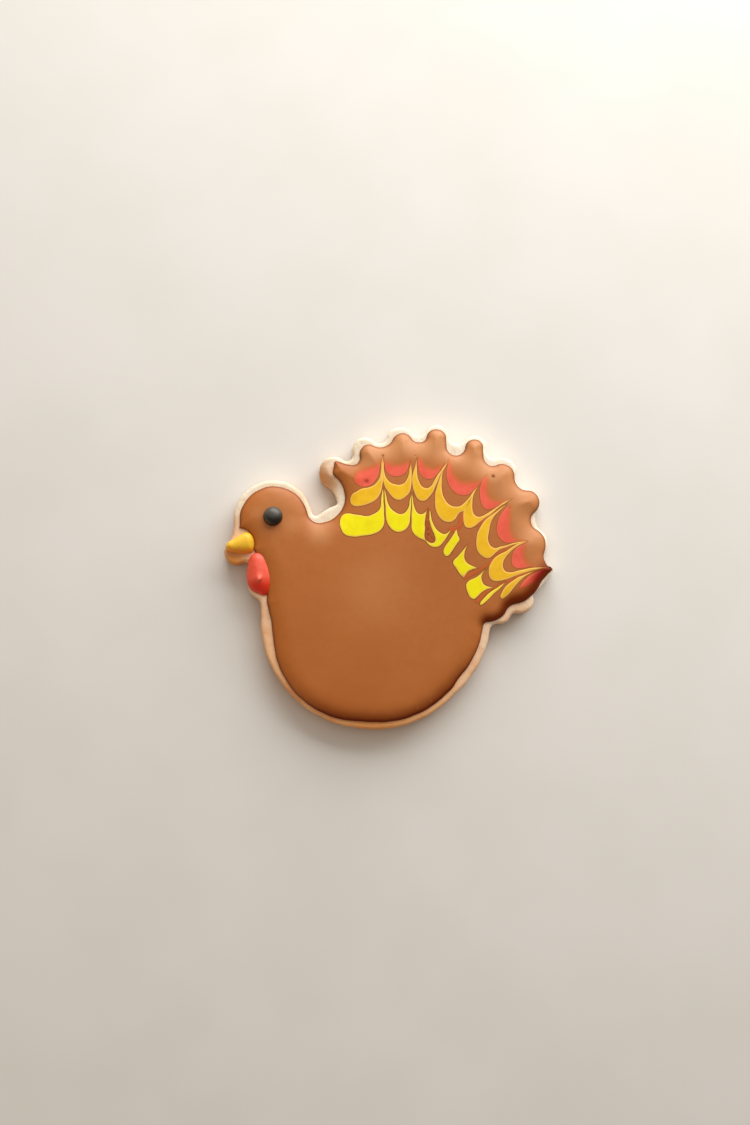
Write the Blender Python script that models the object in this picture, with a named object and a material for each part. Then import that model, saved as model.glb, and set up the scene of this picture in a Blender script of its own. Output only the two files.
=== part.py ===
"""An iced sugar cookie cut as a turkey that faces left.

A flat biscuit carries brown flooded icing, with the eye, the beak and the wattle as raised dots of
icing on top. Each is one solid. The drawing's numbers are millimetres; the model is in metres, +Z up.
+X runs from the beak to the tail and +Y from the breast to the top of the tail. The origin is on the
underside, at the middle of the biscuit's bounding box.
"""

import math

import bmesh
import bpy
import numpy as np
from mathutils import Vector
from mathutils.geometry import delaunay_2d_cdt

MM = 0.001
GAP = 0.3  # left between solids that touch

BISCUIT_THICKNESS = 7.0
BISCUIT_FOOT = 0.7  # how far the lower edge is rounded in
BISCUIT_SHOULDER = 1.3  # how far the upper edge is rounded in

ICING_THICKNESS = 1.8
ICING_SHOULDER = 1.6  # how far in from its edge the flood reaches its full height

EYE_CENTRE = (-33.8, 18.0)
EYE_DIAMETER = 5.6
EYE_HEIGHT = 2.0

BEAK_CENTRE = (-43.9, 9.85)
BEAK_LENGTH = 8.6
BEAK_WIDTH = 5.0
BEAK_HEIGHT = 2.5
BEAK_TURN = 13  # degrees from +X, blunt end towards the head

WATTLE_CENTRE = (-38.15, 0.75)
WATTLE_LENGTH = 12.0
WATTLE_WIDTH = 6.6
WATTLE_HEIGHT = 2.8
WATTLE_TURN = -80
WATTLE_CREST = (-37.9, -0.8)  # where the piping tip was pulled away

ARC_STEP = 1.3  # spacing of points along an outline
# The share of its inset that a point keeps clear of the whole outline, or it is dropped.
KEPT_CLEARANCE = 0.97

# An outline is a chain of round lobes, counter-clockwise, each joined to the next by a hollow arc.
# A lobe is (name, centre x, centre y, radius, radius of the hollow arc that follows it).
BISCUIT_LOBES = [
    ("body", -3.9, -10.6, 34.1, 0.6),
    ("foot of the tail", 33.0, -10.6, 3.3, 0.8),
    ("lowest feather", 39.2, -7.2, 3.6, 1.2),
    ("under the tail", 34.6, 7.2, 14.0, 2.0),
    ("tail tip", 48.1, 2.2, 0.5, 3.0),
    ("feather 8", 41.3, 9.4, 5.6, 2.5),
    ("feather 7", 40.9, 21.8, 3.9, 2.6),
    ("feather 6", 33.7, 31.1, 4.2, 2.5),
    ("feather 5", 25.4, 38.2, 3.7, 2.4),
    ("feather 4", 14.2, 41.2, 3.8, 2.4),
    ("feather 3", 3.6, 40.3, 4.1, 2.4),
    ("feather 2", -6.9, 37.5, 3.8, 1.9),
    ("feather 1", -16.2, 31.1, 4.4, 4.2),
    ("root of the tail", -4.2, 24.4, 11.2, 0.7),
    ("back", -6.5, -1.5, 24.4, 1.0),
    ("head", -33.8, 16.8, 11.4, 2.5),
    ("beak", -45.0, 7.0, 3.4, 1.9),
    ("wattle", -36.1, -1.2, 5.5, 3.0),
]
ICING_LOBES = [
    ("lower left of the body", -6.8, -14.8, 27.2, 60.0),
    ("body", -3.4, -11.6, 31.1, 0.6),
    ("foot of the tail", 29.2, -7.4, 5.7, 4.0),
    ("under the tail", 35.5, 1.5, 9.6, 4.0),
    ("tail tip", 47.7, 2.0, 0.4, 3.0),
    ("feather 8", 41.0, 9.2, 5.1, 2.6),
    ("feather 7", 41.0, 21.9, 3.2, 3.4),
    ("feather 6", 33.4, 29.6, 3.5, 3.2),
    ("feather 5", 25.4, 38.0, 2.6, 2.82),
    ("side of feather 4", 14.0, 38.4, 3.2, 60.0),
    ("feather 4", 14.2, 40.9, 2.8, 2.5),
    ("feather 3", 4.2, 39.3, 3.1, 3.6),
    ("feather 2", -5.8, 36.3, 2.7, 4.2),
    ("feather 1", -14.9, 32.7, 1.3, 14.0),
    ("root of the tail", -13.0, 22.8, 0.8, 8.0),
    ("nape", -18.6, 15.4, 0.7, 3.7),
    ("head", -34.0, 16.4, 10.0, 0.3),
    ("corner over the beak", -43.35, 14.1, 0.5, 3.2),
    ("chin", -38.9, 8.3, 0.8, 14.0),
    ("breast", -31.4, -8.5, 3.6, 60.0),
]


def clear_scene():
    for obj in list(bpy.data.objects):
        bpy.data.objects.remove(obj, do_unlink=True)


def icing_finish(name, colour, roughness):
    material = bpy.data.materials.new(name)
    material.use_nodes = True
    shader = material.node_tree.nodes["Principled BSDF"]
    shader.inputs["Base Color"].default_value = (*colour, 1.0)
    shader.inputs["Roughness"].default_value = roughness
    shader.inputs["Metallic"].default_value = 0.0
    material.diffuse_color = (*colour, 1.0)
    return material


def hollow_centre(lobe, following):
    """The centre of the hollow arc that touches a lobe and the next one, outside the outline."""
    _, x, y, radius, hollow = lobe
    start = np.array((x, y))
    end = np.array(following[1:3])
    gap = np.linalg.norm(end - start)
    along = (end - start) / gap
    outward = np.array((along[1], -along[0]))
    near, far = radius + hollow, following[3] + hollow
    distance = (near**2 - far**2 + gap**2) / (2 * gap)
    return start + along * distance + outward * math.sqrt(near**2 - distance**2)


def heading(centre, point):
    return math.atan2(point[1] - centre[1], point[0] - centre[0])


def arc(centre, radius, start, end, turn):
    """Points along an arc without its last one. turn is 1 counter-clockwise or -1 clockwise."""
    sweep = ((end - start) * turn) % (2 * math.pi)
    count = max(2, round(radius * sweep / ARC_STEP))
    angles = start + turn * sweep * np.arange(count) / count
    return np.array(centre) + radius * np.stack((np.cos(angles), np.sin(angles)), axis=1)


def outline(lobes):
    """The chain's closed outline, as points about ARC_STEP apart."""
    hollows = [
        hollow_centre(lobe, lobes[(i + 1) % len(lobes)]) for i, lobe in enumerate(lobes)
    ]
    stretches = []
    for i, (_, x, y, radius, hollow) in enumerate(lobes):
        start = heading((x, y), hollows[i - 1])
        end = heading((x, y), hollows[i])
        stretches.append(arc((x, y), radius, start, end, 1))
        following = lobes[(i + 1) % len(lobes)]
        start = heading(hollows[i], (x, y))
        end = heading(hollows[i], following[1:3])
        stretches.append(arc(hollows[i], hollow, start, end, -1))
    return np.concatenate(stretches)


def inset(edge, distance):
    """The outline moved inwards, without the points that come closer to another stretch of it."""
    along = np.roll(edge, -1, axis=0) - np.roll(edge, 1, axis=0)
    along /= np.linalg.norm(along, axis=1, keepdims=True)
    moved = edge + distance * np.stack((-along[:, 1], along[:, 0]), axis=1)
    steps = np.roll(edge, -1, axis=0) - edge
    reach = moved[:, None] - edge[None]
    share = (reach * steps).sum(axis=2) / (steps**2).sum(axis=1)
    nearest = reach - np.clip(share, 0, 1)[..., None] * steps
    clearance = np.linalg.norm(nearest, axis=2).min(axis=1)
    return moved[clearance > KEPT_CLEARANCE * distance]


def teardrop(centre, length, width, turn, count=32):
    """A drop with its narrow end at -X before it is turned."""
    narrowing = 0.45
    angles = 2 * math.pi * np.arange(count) / count
    along = -length / 2 * np.cos(angles)
    across = -np.sin(angles) * np.abs(np.sin(angles / 2)) ** narrowing
    across *= width / 2 / np.abs(across).max()
    cos, sin = math.cos(math.radians(turn)), math.sin(math.radians(turn))
    return centre + np.stack((cos * along - sin * across, sin * along + cos * across), axis=1)


def circle(centre, diameter, count=32):
    angles = 2 * math.pi * np.arange(count) / count
    return centre + diameter / 2 * np.stack((np.cos(angles), np.sin(angles)), axis=1)


def as_object(name, mesh, material):
    data = bpy.data.meshes.new(name)
    mesh.to_mesh(data)
    mesh.free()
    data.materials.append(material)
    data.shade_smooth()
    data.set_sharp_from_angle(angle=math.radians(50))
    obj = bpy.data.objects.new(name, data)
    bpy.context.scene.collection.objects.link(obj)


def placed(x, y, z):
    return ((x - middle[0]) * MM, (y - middle[1]) * MM, z * MM)


def face_over(mesh, edge, profile, upwards):
    """Fills the outline with triangles that follow a profile of (inset, height). Gives its rim."""
    plan = [*edge]
    heights = [profile[0][1]] * len(edge)
    for distance, height in profile[1:]:
        ring = inset(edge, distance)
        plan.extend(ring)
        heights.extend([height] * len(ring))
    outer = [list(range(len(edge)))]
    found = delaunay_2d_cdt([Vector(point) for point in plan], [], outer, 1, 1e-6)
    corners, triangles, sources = found[0], found[2], found[3]
    made = []
    for corner, source in zip(corners, sources):
        made.append(mesh.verts.new(placed(*corner, heights[source[0]])))
    for triangle in triangles:
        face = [made[i] for i in triangle]
        mesh.faces.new(face if upwards else face[::-1])
    place_of = {source[0]: i for i, source in enumerate(sources)}
    return [made[place_of[i]] for i in range(len(edge))]


def slab(name, edge, lower, upper, material):
    """A closed sheet with one outline and its lower and upper edges rounded by their profiles."""
    mesh = bmesh.new()
    bottom = face_over(mesh, edge, lower, upwards=False)
    top = face_over(mesh, edge, upper, upwards=True)
    for i in range(len(edge)):
        mesh.faces.new((bottom[i - 1], bottom[i], top[i], top[i - 1]))
    as_object(name, mesh, material)


def make_biscuit():
    foot, shoulder, top = BISCUIT_FOOT, BISCUIT_SHOULDER, BISCUIT_THICKNESS
    lower = [(0.0, 0.8 * foot), (foot, 0.0)]
    upper = [(0.0, top - shoulder), (0.3 * shoulder, top - 0.3 * shoulder), (shoulder, top)]
    material = icing_finish("baked_dough", (0.79, 0.62, 0.40), 0.85)
    slab("biscuit", outline(BISCUIT_LOBES), lower, upper, material)


def make_icing():
    base, full = BISCUIT_THICKNESS + GAP, ICING_THICKNESS
    lower = [(0.0, base)]
    upper = [
        (0.0, base + 0.25 * full),
        (0.15 * ICING_SHOULDER, base + 0.62 * full),
        (0.5 * ICING_SHOULDER, base + 0.9 * full),
        (ICING_SHOULDER, base + full),
    ]
    material = icing_finish("brown_icing", (0.40, 0.12, 0.035), 0.5)
    slab("icing", outline(ICING_LOBES), lower, upper, material)


def dome(name, edge, crest, base, height, peak, material):
    """A piped drop: its outline drawn up to a crest, with the last of it pulled into a peak."""
    tuck, tip = 0.94, 0.06
    steps = 5
    rings = [(tuck, base)]
    for i in range(steps):
        angle = 0.5 * math.pi * i / steps
        rise = 0.15 + 0.85 * math.sin(angle)
        rings.append((math.cos(angle), base + rise * (height - peak)))
    rings.append((tip, base + height))
    mesh = bmesh.new()
    loops = [
        [mesh.verts.new(placed(*(crest + spread * (point - crest)), z)) for point in edge]
        for spread, z in rings
    ]
    for lower, upper in zip(loops, loops[1:]):
        for i in range(len(edge)):
            mesh.faces.new((lower[i - 1], lower[i], upper[i], upper[i - 1]))
    mesh.faces.new(loops[0][::-1])
    mesh.faces.new(loops[-1])
    as_object(name, mesh, material)


def make_eye():
    centre = np.array(EYE_CENTRE)
    base = BISCUIT_THICKNESS + 2 * GAP + ICING_THICKNESS
    material = icing_finish("black_icing", (0.012, 0.012, 0.014), 0.35)
    dome("eye", circle(centre, EYE_DIAMETER), centre, base, EYE_HEIGHT, 0.0, material)


def make_beak():
    centre = np.array(BEAK_CENTRE)
    drop = teardrop(centre, BEAK_LENGTH, BEAK_WIDTH, BEAK_TURN)
    material = icing_finish("gold_icing", (0.90, 0.50, 0.05), 0.5)
    dome("beak", drop, centre, BISCUIT_THICKNESS + GAP, BEAK_HEIGHT, 0.0, material)


def make_wattle():
    drop = teardrop(np.array(WATTLE_CENTRE), WATTLE_LENGTH, WATTLE_WIDTH, WATTLE_TURN)
    material = icing_finish("red_icing", (0.75, 0.08, 0.05), 0.5)
    crest = np.array(WATTLE_CREST)
    peak = 0.5
    dome("wattle", drop, crest, BISCUIT_THICKNESS + GAP, WATTLE_HEIGHT, peak, material)


clear_scene()
edge = outline(BISCUIT_LOBES)
middle = (edge.min(axis=0) + edge.max(axis=0)) / 2
make_biscuit()
make_icing()
make_eye()
make_beak()
make_wattle()
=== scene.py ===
"""The looks of an iced sugar cookie cut as a turkey that faces left.

The plan is drawn in millimetres, +X from the beak to the tail and +Y from the breast to the top of the tail.
It is moved so that the biscuit's outline sits in the middle of the frame's biscuit node, and all heights come
from the frame's nodes. A pale biscuit carries brown flooded icing. The feathers are bands of red, gold and
yellow icing that lie in the flood, and the eye, the beak and the wattle are drops piped on top.
"""

import math

import bpy
import numpy as np
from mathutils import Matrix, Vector, noise
from mathutils.geometry import delaunay_2d_cdt


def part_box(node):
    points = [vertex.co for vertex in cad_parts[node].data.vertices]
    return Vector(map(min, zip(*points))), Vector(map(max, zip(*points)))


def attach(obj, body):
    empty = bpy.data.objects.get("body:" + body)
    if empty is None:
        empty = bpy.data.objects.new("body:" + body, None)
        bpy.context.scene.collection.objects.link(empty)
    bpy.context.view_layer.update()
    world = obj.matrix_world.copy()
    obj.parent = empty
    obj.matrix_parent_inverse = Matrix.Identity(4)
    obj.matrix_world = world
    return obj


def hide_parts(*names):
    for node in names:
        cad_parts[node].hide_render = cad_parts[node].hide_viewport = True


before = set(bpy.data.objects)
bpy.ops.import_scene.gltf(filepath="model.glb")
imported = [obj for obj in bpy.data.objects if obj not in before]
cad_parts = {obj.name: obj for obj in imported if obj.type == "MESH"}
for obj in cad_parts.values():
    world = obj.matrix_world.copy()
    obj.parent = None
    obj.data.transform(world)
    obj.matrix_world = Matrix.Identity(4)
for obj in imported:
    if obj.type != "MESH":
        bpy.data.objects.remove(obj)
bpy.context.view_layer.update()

MM = 0.001
TURN = 2 * math.pi

# An outline is a chain of round lobes, counter-clockwise, each joined to the next by a hollow arc.
# A lobe is (name, centre x, centre y, radius, radius of the hollow arc that follows it).
BISCUIT_LOBES = [
    ("left side of the body", -5.15, -12.35, 32.45, 60.0),
    ("bottom", -3.62, -13.76, 31.0, 60.0),
    ("right side of the body", -0.8, -11.2, 31.0, 2.2),
    ("foot of the tail", 33.0, -10.6, 3.3, 2.0),
    ("lowest feather", 39.2, -7.2, 3.6, 1.2),
    ("under the tail", 34.8, 7.0, 14.4, 2.0),
    ("tail tip", 48.1, 2.2, 0.5, 3.0),
    ("feather 8", 41.3, 9.4, 5.6, 4.6),
    ("feather 7", 40.9, 21.8, 4.0, 3.6),
    ("feather 6", 33.7, 31.1, 4.2, 2.5),
    ("feather 5", 25.4, 38.2, 3.7, 2.4),
    ("feather 4", 14.2, 41.2, 3.8, 2.4),
    ("feather 3", 3.6, 40.3, 4.1, 2.4),
    ("feather 2", -6.9, 37.5, 3.8, 1.9),
    ("feather 1", -16.2, 31.1, 4.4, 8.0),
    ("root of the tail", -4.2, 24.4, 11.2, 0.7),
    ("back", -6.5, -1.5, 24.4, 1.0),
    ("head", -34.1, 16.8, 11.7, 12.0),
    ("beak", -45.0, 7.0, 3.4, 1.9),
    ("wattle", -36.1, -1.6, 5.55, 3.0),
]
ICING_LOBES = [
    ("lower left of the body", -8.2, -16.9, 25.6, 60.0),
    ("bottom", -2.8, -14.9, 27.8, 60.0),
    ("right side of the body", 1.9, -11.6, 26.0, 1.3),
    ("foot of the tail", 29.3, -7.5, 5.9, 4.0),
    ("under the tail", 35.7, 1.5, 9.7, 9.0),
    ("tail tip", 47.7, 2.0, 0.4, 4.4),
    ("feather 8", 41.1, 9.3, 5.2, 3.2),
    ("feather 7", 41.1, 21.9, 3.5, 3.9),
    ("feather 6", 33.6, 29.6, 3.7, 2.8),
    ("side of feather 5", 25.6, 35.9, 2.5, 60.0),
    ("feather 5", 25.4, 38.0, 2.6, 2.82),
    ("side of feather 4", 14.0, 38.4, 3.2, 60.0),
    ("feather 4", 14.2, 40.9, 2.8, 2.5),
    ("feather 3", 4.2, 39.3, 3.1, 4.4),
    ("feather 2", -5.8, 36.3, 2.7, 2.3),
    ("top of feather 1", -11.9, 31.9, 1.2, 60.0),
    ("feather 1", -15.45, 33.65, 0.5, 60.0),
    ("side of feather 1", -14.2, 31.0, 2.2, 7.5),
    ("nape", -18.6, 15.4, 0.7, 3.7),
    ("head", -33.8, 16.55, 10.1, 0.3),
    ("corner over the beak", -43.45, 14.7, 0.5, 4.6),
    ("chin", -38.9, 8.3, 0.8, 26.0),
    ("breast", -32.6, -7.3, 3.1, 60.0),
]

# A feather band is a ring of smooth stretches. Each stretch starts at a sharp tip and ends where the next one
# starts, so a shared tip is written once. The bands run from left to right round the tail.
GOLD_BANDS = [
    [
        [(-1.75, 35.3), (-2.2, 33.0), (-2.15, 31.5), (-2.3, 30.2), (-2.7, 28.9), (-3.3, 27.9), (-4.1, 26.9),
         (-6.0, 26.0), (-8.0, 25.7), (-9.3, 25.0), (-10.5, 24.3), (-11.2, 23.2), (-11.1, 21.5), (-10.3, 20.7),
         (-9.0, 20.5), (-6.5, 21.1), (-5.0, 21.6), (-3.7, 22.4), (-2.6, 24.0), (-2.0, 26.0), (-1.6, 29.0),
         (-1.5, 32.0)],
    ],
    [
        [(-1.35, 34.8), (-1.75, 31.5), (-1.6, 28.0), (-1.0, 26.2), (-0.2, 25.0), (0.6, 23.8), (1.6, 22.7),
         (3.0, 22.35), (4.5, 22.9), (5.7, 23.9), (6.4, 25.2), (6.75, 27.0), (6.9, 30.0)],
        [(6.55, 34.0), (6.1, 31.0), (5.9, 29.6), (5.4, 28.4), (4.6, 27.4), (3.4, 26.95), (2.2, 27.0),
         (1.0, 27.4), (0.0, 28.2), (-0.8, 29.4), (-1.2, 31.0)],
    ],
    [
        [(8.5, 34.8), (7.75, 32.0), (7.1, 29.5), (7.05, 27.0), (7.3, 25.5), (7.8, 24.0), (8.6, 22.8),
         (9.8, 22.2), (11.0, 22.4), (12.0, 23.3), (13.0, 24.7), (13.75, 26.3), (14.6, 28.3), (15.5, 30.2),
         (16.6, 31.9)],
        [(17.6, 34.2), (16.0, 31.9), (14.6, 30.0), (13.5, 28.2), (12.6, 26.6), (11.4, 25.9), (10.2, 26.2),
         (9.3, 27.2), (8.75, 28.5), (8.5, 30.0), (8.4, 32.0)],
    ],
    [
        [(16.4, 31.6), (15.5, 30.0), (14.8, 28.0), (14.2, 26.0), (13.8, 24.5), (13.6, 22.5), (13.7, 20.5),
         (14.0, 19.0), (14.7, 17.7), (15.6, 16.7), (16.8, 16.0), (18.2, 15.9), (19.4, 16.6), (20.2, 17.7),
         (21.0, 18.7), (22.2, 19.3), (23.6, 20.8), (24.6, 22.8), (25.6, 25.0)],
        [(26.8, 27.0), (25.0, 24.9), (24.0, 23.5), (23.0, 22.3), (22.0, 21.3), (20.7, 20.5), (19.0, 20.5),
         (17.7, 21.2), (16.8, 22.2), (16.1, 23.6), (15.8, 25.2), (15.7, 27.0), (15.9, 29.2)],
    ],
    [
        [(26.8, 26.9), (25.0, 24.6), (23.0, 22.0), (22.1, 19.5), (22.0, 17.5), (22.1, 15.7), (22.6, 14.5),
         (23.8, 14.1), (25.0, 14.5), (26.9, 16.0), (28.2, 17.0), (29.5, 17.8), (31.0, 19.0), (33.0, 20.6),
         (34.8, 21.8)],
        [(36.5, 22.9), (34.0, 21.8), (32.0, 20.3), (30.5, 19.4), (29.0, 18.5), (27.6, 17.7), (26.2, 17.5),
         (25.2, 18.2), (24.75, 19.7), (24.7, 21.5), (24.9, 23.2), (25.6, 25.0)],
    ],
    [
        [(35.0, 21.4), (33.0, 20.0), (31.3, 18.7), (29.8, 17.6), (28.4, 16.4), (27.3, 15.0), (26.5, 13.5),
         (25.9, 11.5), (25.65, 9.5), (25.9, 7.8), (26.6, 6.5), (27.8, 5.6), (29.2, 5.3), (30.4, 5.9),
         (31.4, 6.9), (32.6, 7.7), (34.2, 8.3), (36.5, 9.1)],
        [(41.0, 10.3), (38.8, 10.1), (36.5, 9.6), (34.5, 9.0), (32.8, 8.6), (31.2, 8.2), (30.0, 8.8),
         (29.4, 10.0), (29.25, 12.0), (29.6, 14.0), (30.2, 15.9), (31.0, 17.4), (32.2, 18.8), (33.6, 20.1)],
    ],
    [
        [(40.8, 10.2), (38.5, 9.7), (36.3, 8.4), (34.5, 7.3), (32.8, 6.5), (31.4, 5.6), (30.4, 4.4),
         (29.7, 3.0), (29.4, 1.5), (29.5, 0.1), (30.2, -1.0), (31.5, -1.5), (33.0, -1.4), (34.6, -1.0),
         (36.2, -0.4), (38.0, 0.3), (40.0, 1.0), (42.5, 1.8)],
        [(47.6, 2.6), (44.5, 2.6), (42.0, 2.4), (40.0, 2.1), (38.0, 1.6), (36.0, 1.1), (34.6, 1.3),
         (33.8, 2.2), (33.6, 3.5), (34.0, 4.9), (35.0, 6.3), (36.4, 7.6), (38.2, 8.9)],
    ],
    [
        [(43.6, 1.9), (41.3, 1.0), (39.5, 0.2), (38.0, -0.4), (36.5, -1.3), (35.2, -2.3), (34.0, -3.5),
         (33.1, -5.0), (32.7, -6.1), (33.3, -6.6), (34.3, -6.1), (35.3, -5.2), (36.2, -4.1), (37.0, -2.9),
         (38.0, -1.8), (39.1, -0.8), (40.4, 0.2), (41.8, 1.0)],
    ],
]
YELLOW_BANDS = [
    [
        [(-1.7, 26.2), (-2.1, 23.0), (-2.25, 21.0), (-2.6, 19.8), (-3.3, 18.9), (-4.5, 18.2), (-6.0, 17.7),
         (-8.0, 17.8), (-10.0, 18.1), (-11.5, 18.5), (-13.0, 18.3), (-13.9, 17.3), (-14.3, 15.6),
         (-14.0, 14.0), (-13.1, 12.5), (-11.8, 11.8), (-10.0, 11.6), (-8.0, 11.8), (-6.0, 12.1),
         (-4.2, 12.5), (-2.9, 13.1), (-1.9, 14.1), (-1.3, 15.3), (-1.15, 16.6), (-1.2, 18.5), (-1.35, 21.0),
         (-1.45, 23.5)],
    ],
    [
        [(-1.35, 26.2), (-1.05, 23.0), (-0.8, 20.5), (-0.75, 18.5), (-0.6, 17.0), (-0.2, 15.6), (0.4, 14.5),
         (1.2, 13.6), (2.2, 13.15), (3.3, 13.05), (4.5, 13.4), (5.5, 14.3), (6.1, 15.6), (6.35, 17.3),
         (6.5, 19.3), (6.65, 21.5)],
        [(6.85, 24.8), (6.3, 22.2), (6.0, 20.9), (5.5, 19.6), (4.8, 18.7), (3.9, 18.3), (3.0, 18.3),
         (2.1, 18.7), (1.2, 19.4), (0.4, 20.4), (-0.15, 21.6), (-0.6, 23.4)],
    ],
    [
        [(7.0, 24.8), (6.9, 21.5), (6.85, 19.0), (6.75, 17.0), (6.7, 15.0), (6.9, 13.5), (7.5, 12.4),
         (8.5, 11.5), (9.5, 10.9)],
        [(10.9, 10.3), (10.55, 11.4), (10.55, 12.7), (10.7, 14.0), (10.75, 16.0), (10.9, 17.6)],
        [(11.3, 19.6), (10.7, 18.7), (9.8, 18.15), (8.9, 18.35), (8.1, 19.3), (7.6, 20.5), (7.3, 22.2)],
    ],
    [
        [(12.1, 20.0), (12.0, 18.0), (12.1, 16.5), (12.4, 14.8), (12.9, 13.3), (13.5, 11.8), (13.8, 10.6),
         (13.4, 9.9), (12.4, 9.8), (11.5, 10.2)],
        [(10.5, 10.8), (11.6, 9.5), (12.7, 8.8), (13.9, 8.5), (14.9, 8.8), (15.7, 9.6), (16.5, 10.7),
         (17.3, 11.9), (18.0, 13.0)],
        [(18.7, 14.4), (17.5, 12.9), (16.5, 12.4), (15.4, 12.7), (14.3, 13.4), (13.4, 14.6), (12.85, 16.0),
         (12.5, 17.5)],
    ],
    [
        [(20.3, 14.8), (20.1, 13.2), (20.3, 12.0), (20.8, 11.2), (20.9, 10.6), (20.2, 9.7), (19.4, 8.5),
         (18.6, 7.2), (17.8, 6.2), (17.0, 5.95), (16.3, 6.6), (16.25, 7.7), (16.7, 8.8), (17.5, 10.0),
         (18.3, 11.2), (19.1, 12.4), (19.7, 13.5)],
    ],
    [
        [(23.2, 9.3), (22.45, 7.6), (22.3, 6.2), (22.4, 4.9), (22.9, 4.0), (24.0, 3.3)],
        [(26.2, 2.4), (24.6, 2.0), (23.2, 1.3)],
        [(21.95, -0.5), (20.8, 0.7), (19.8, 2.3), (18.9, 3.7), (19.1, 4.7), (20.1, 5.7), (21.2, 6.8),
         (22.2, 8.1)],
    ],
    [
        [(29.6, 2.9), (27.9, 1.5), (26.5, 0.4), (25.2, -0.5), (23.5, -1.4), (22.8, -2.4), (22.9, -3.9),
         (23.4, -5.3), (24.1, -6.4), (24.9, -6.7), (26.0, -5.9), (27.2, -4.8), (28.5, -4.0)],
        [(30.6, -3.1), (29.0, -2.9), (27.9, -2.4), (27.3, -1.3), (27.2, -0.1), (27.7, 1.0)],
    ],
    [
        [(34.4, -1.8), (32.0, -3.2), (29.8, -4.7), (28.0, -6.4), (26.75, -7.9), (26.8, -8.5), (27.6, -8.2),
         (29.2, -6.8), (30.8, -5.2), (32.6, -3.6)],
    ],
]
# The last stretch of a red band is its soft side, where the colour runs out into the brown.
RED_BANDS = [
    [
        [(-10.8, 30.0), (-10.2, 28.2), (-9.2, 27.0), (-8.0, 26.4), (-6.5, 26.3), (-5.3, 26.7), (-4.4, 27.5),
         (-3.5, 28.8), (-2.9, 30.2), (-2.6, 32.0)],
        [(-2.5, 35.6), (-3.6, 34.2), (-5.0, 33.4), (-6.8, 32.9), (-8.6, 32.3), (-10.2, 31.4)],
    ],
    [
        [(-1.2, 35.3), (-0.95, 32.6), (-0.6, 31.0), (0.2, 30.1), (1.3, 29.6), (2.6, 29.4), (3.8, 29.7),
         (4.9, 30.4), (5.6, 31.6), (5.95, 33.0)],
        [(6.3, 35.6), (5.0, 34.4), (3.6, 33.8), (2.2, 33.6), (0.8, 33.9), (-0.3, 34.5)],
    ],
    [
        [(9.1, 36.0), (8.75, 34.0), (8.85, 32.0), (9.3, 30.4), (10.2, 29.3), (11.4, 28.6), (12.7, 28.6),
         (13.8, 29.5), (14.8, 30.8), (15.8, 32.4)],
        [(17.0, 34.8), (15.4, 33.4), (13.8, 32.6), (12.4, 32.6), (11.2, 33.4), (10.4, 34.6)],
    ],
    [
        [(18.2, 35.8), (17.6, 33.5), (17.2, 31.0), (17.25, 29.0), (17.6, 27.4), (18.4, 25.8), (19.5, 24.6),
         (21.0, 23.9), (22.6, 23.8), (24.2, 24.5), (25.4, 25.7), (26.4, 26.9)],
        [(28.4, 29.6), (26.6, 29.0), (24.6, 28.7), (22.6, 28.6), (20.9, 29.4), (19.8, 30.9), (19.3, 33.0)],
    ],
    [
        [(29.6, 30.6), (27.8, 28.6), (27.0, 26.4), (26.85, 24.0), (27.1, 21.8), (27.9, 20.3), (29.2, 19.6),
         (30.6, 19.9), (32.0, 20.6), (33.4, 21.5)],
        [(35.6, 22.9), (33.6, 22.8), (31.6, 23.0), (30.4, 24.0), (30.0, 26.0), (30.1, 28.4)],
    ],
    [
        [(37.0, 21.2), (34.8, 20.3), (33.5, 18.9), (32.6, 17.2), (32.0, 15.4), (31.8, 13.7), (32.2, 12.0),
         (33.1, 10.7), (34.3, 9.9), (36.0, 9.8), (38.0, 10.2)],
        [(41.4, 11.0), (39.4, 11.4), (37.6, 12.0), (36.8, 13.6), (36.8, 15.8), (36.9, 18.4)],
    ],
    [
        [(41.2, 9.9), (39.4, 9.2), (37.7, 8.2), (36.5, 6.6), (36.1, 4.9), (36.3, 3.3), (37.4, 2.4),
         (38.8, 2.4), (40.6, 2.7)],
        [(43.6, 3.1), (42.0, 3.9), (41.1, 5.2), (40.9, 7.0)],
    ],
    [
        [(47.9, 2.2), (45.2, 2.0), (43.2, 1.2), (41.5, 0.3), (40.1, -0.9), (38.8, -2.4)],
        [(38.0, -4.3), (39.8, -4.0), (41.5, -3.4), (43.1, -2.4), (44.8, -1.0), (46.6, 0.9)],
    ],
]
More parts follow.
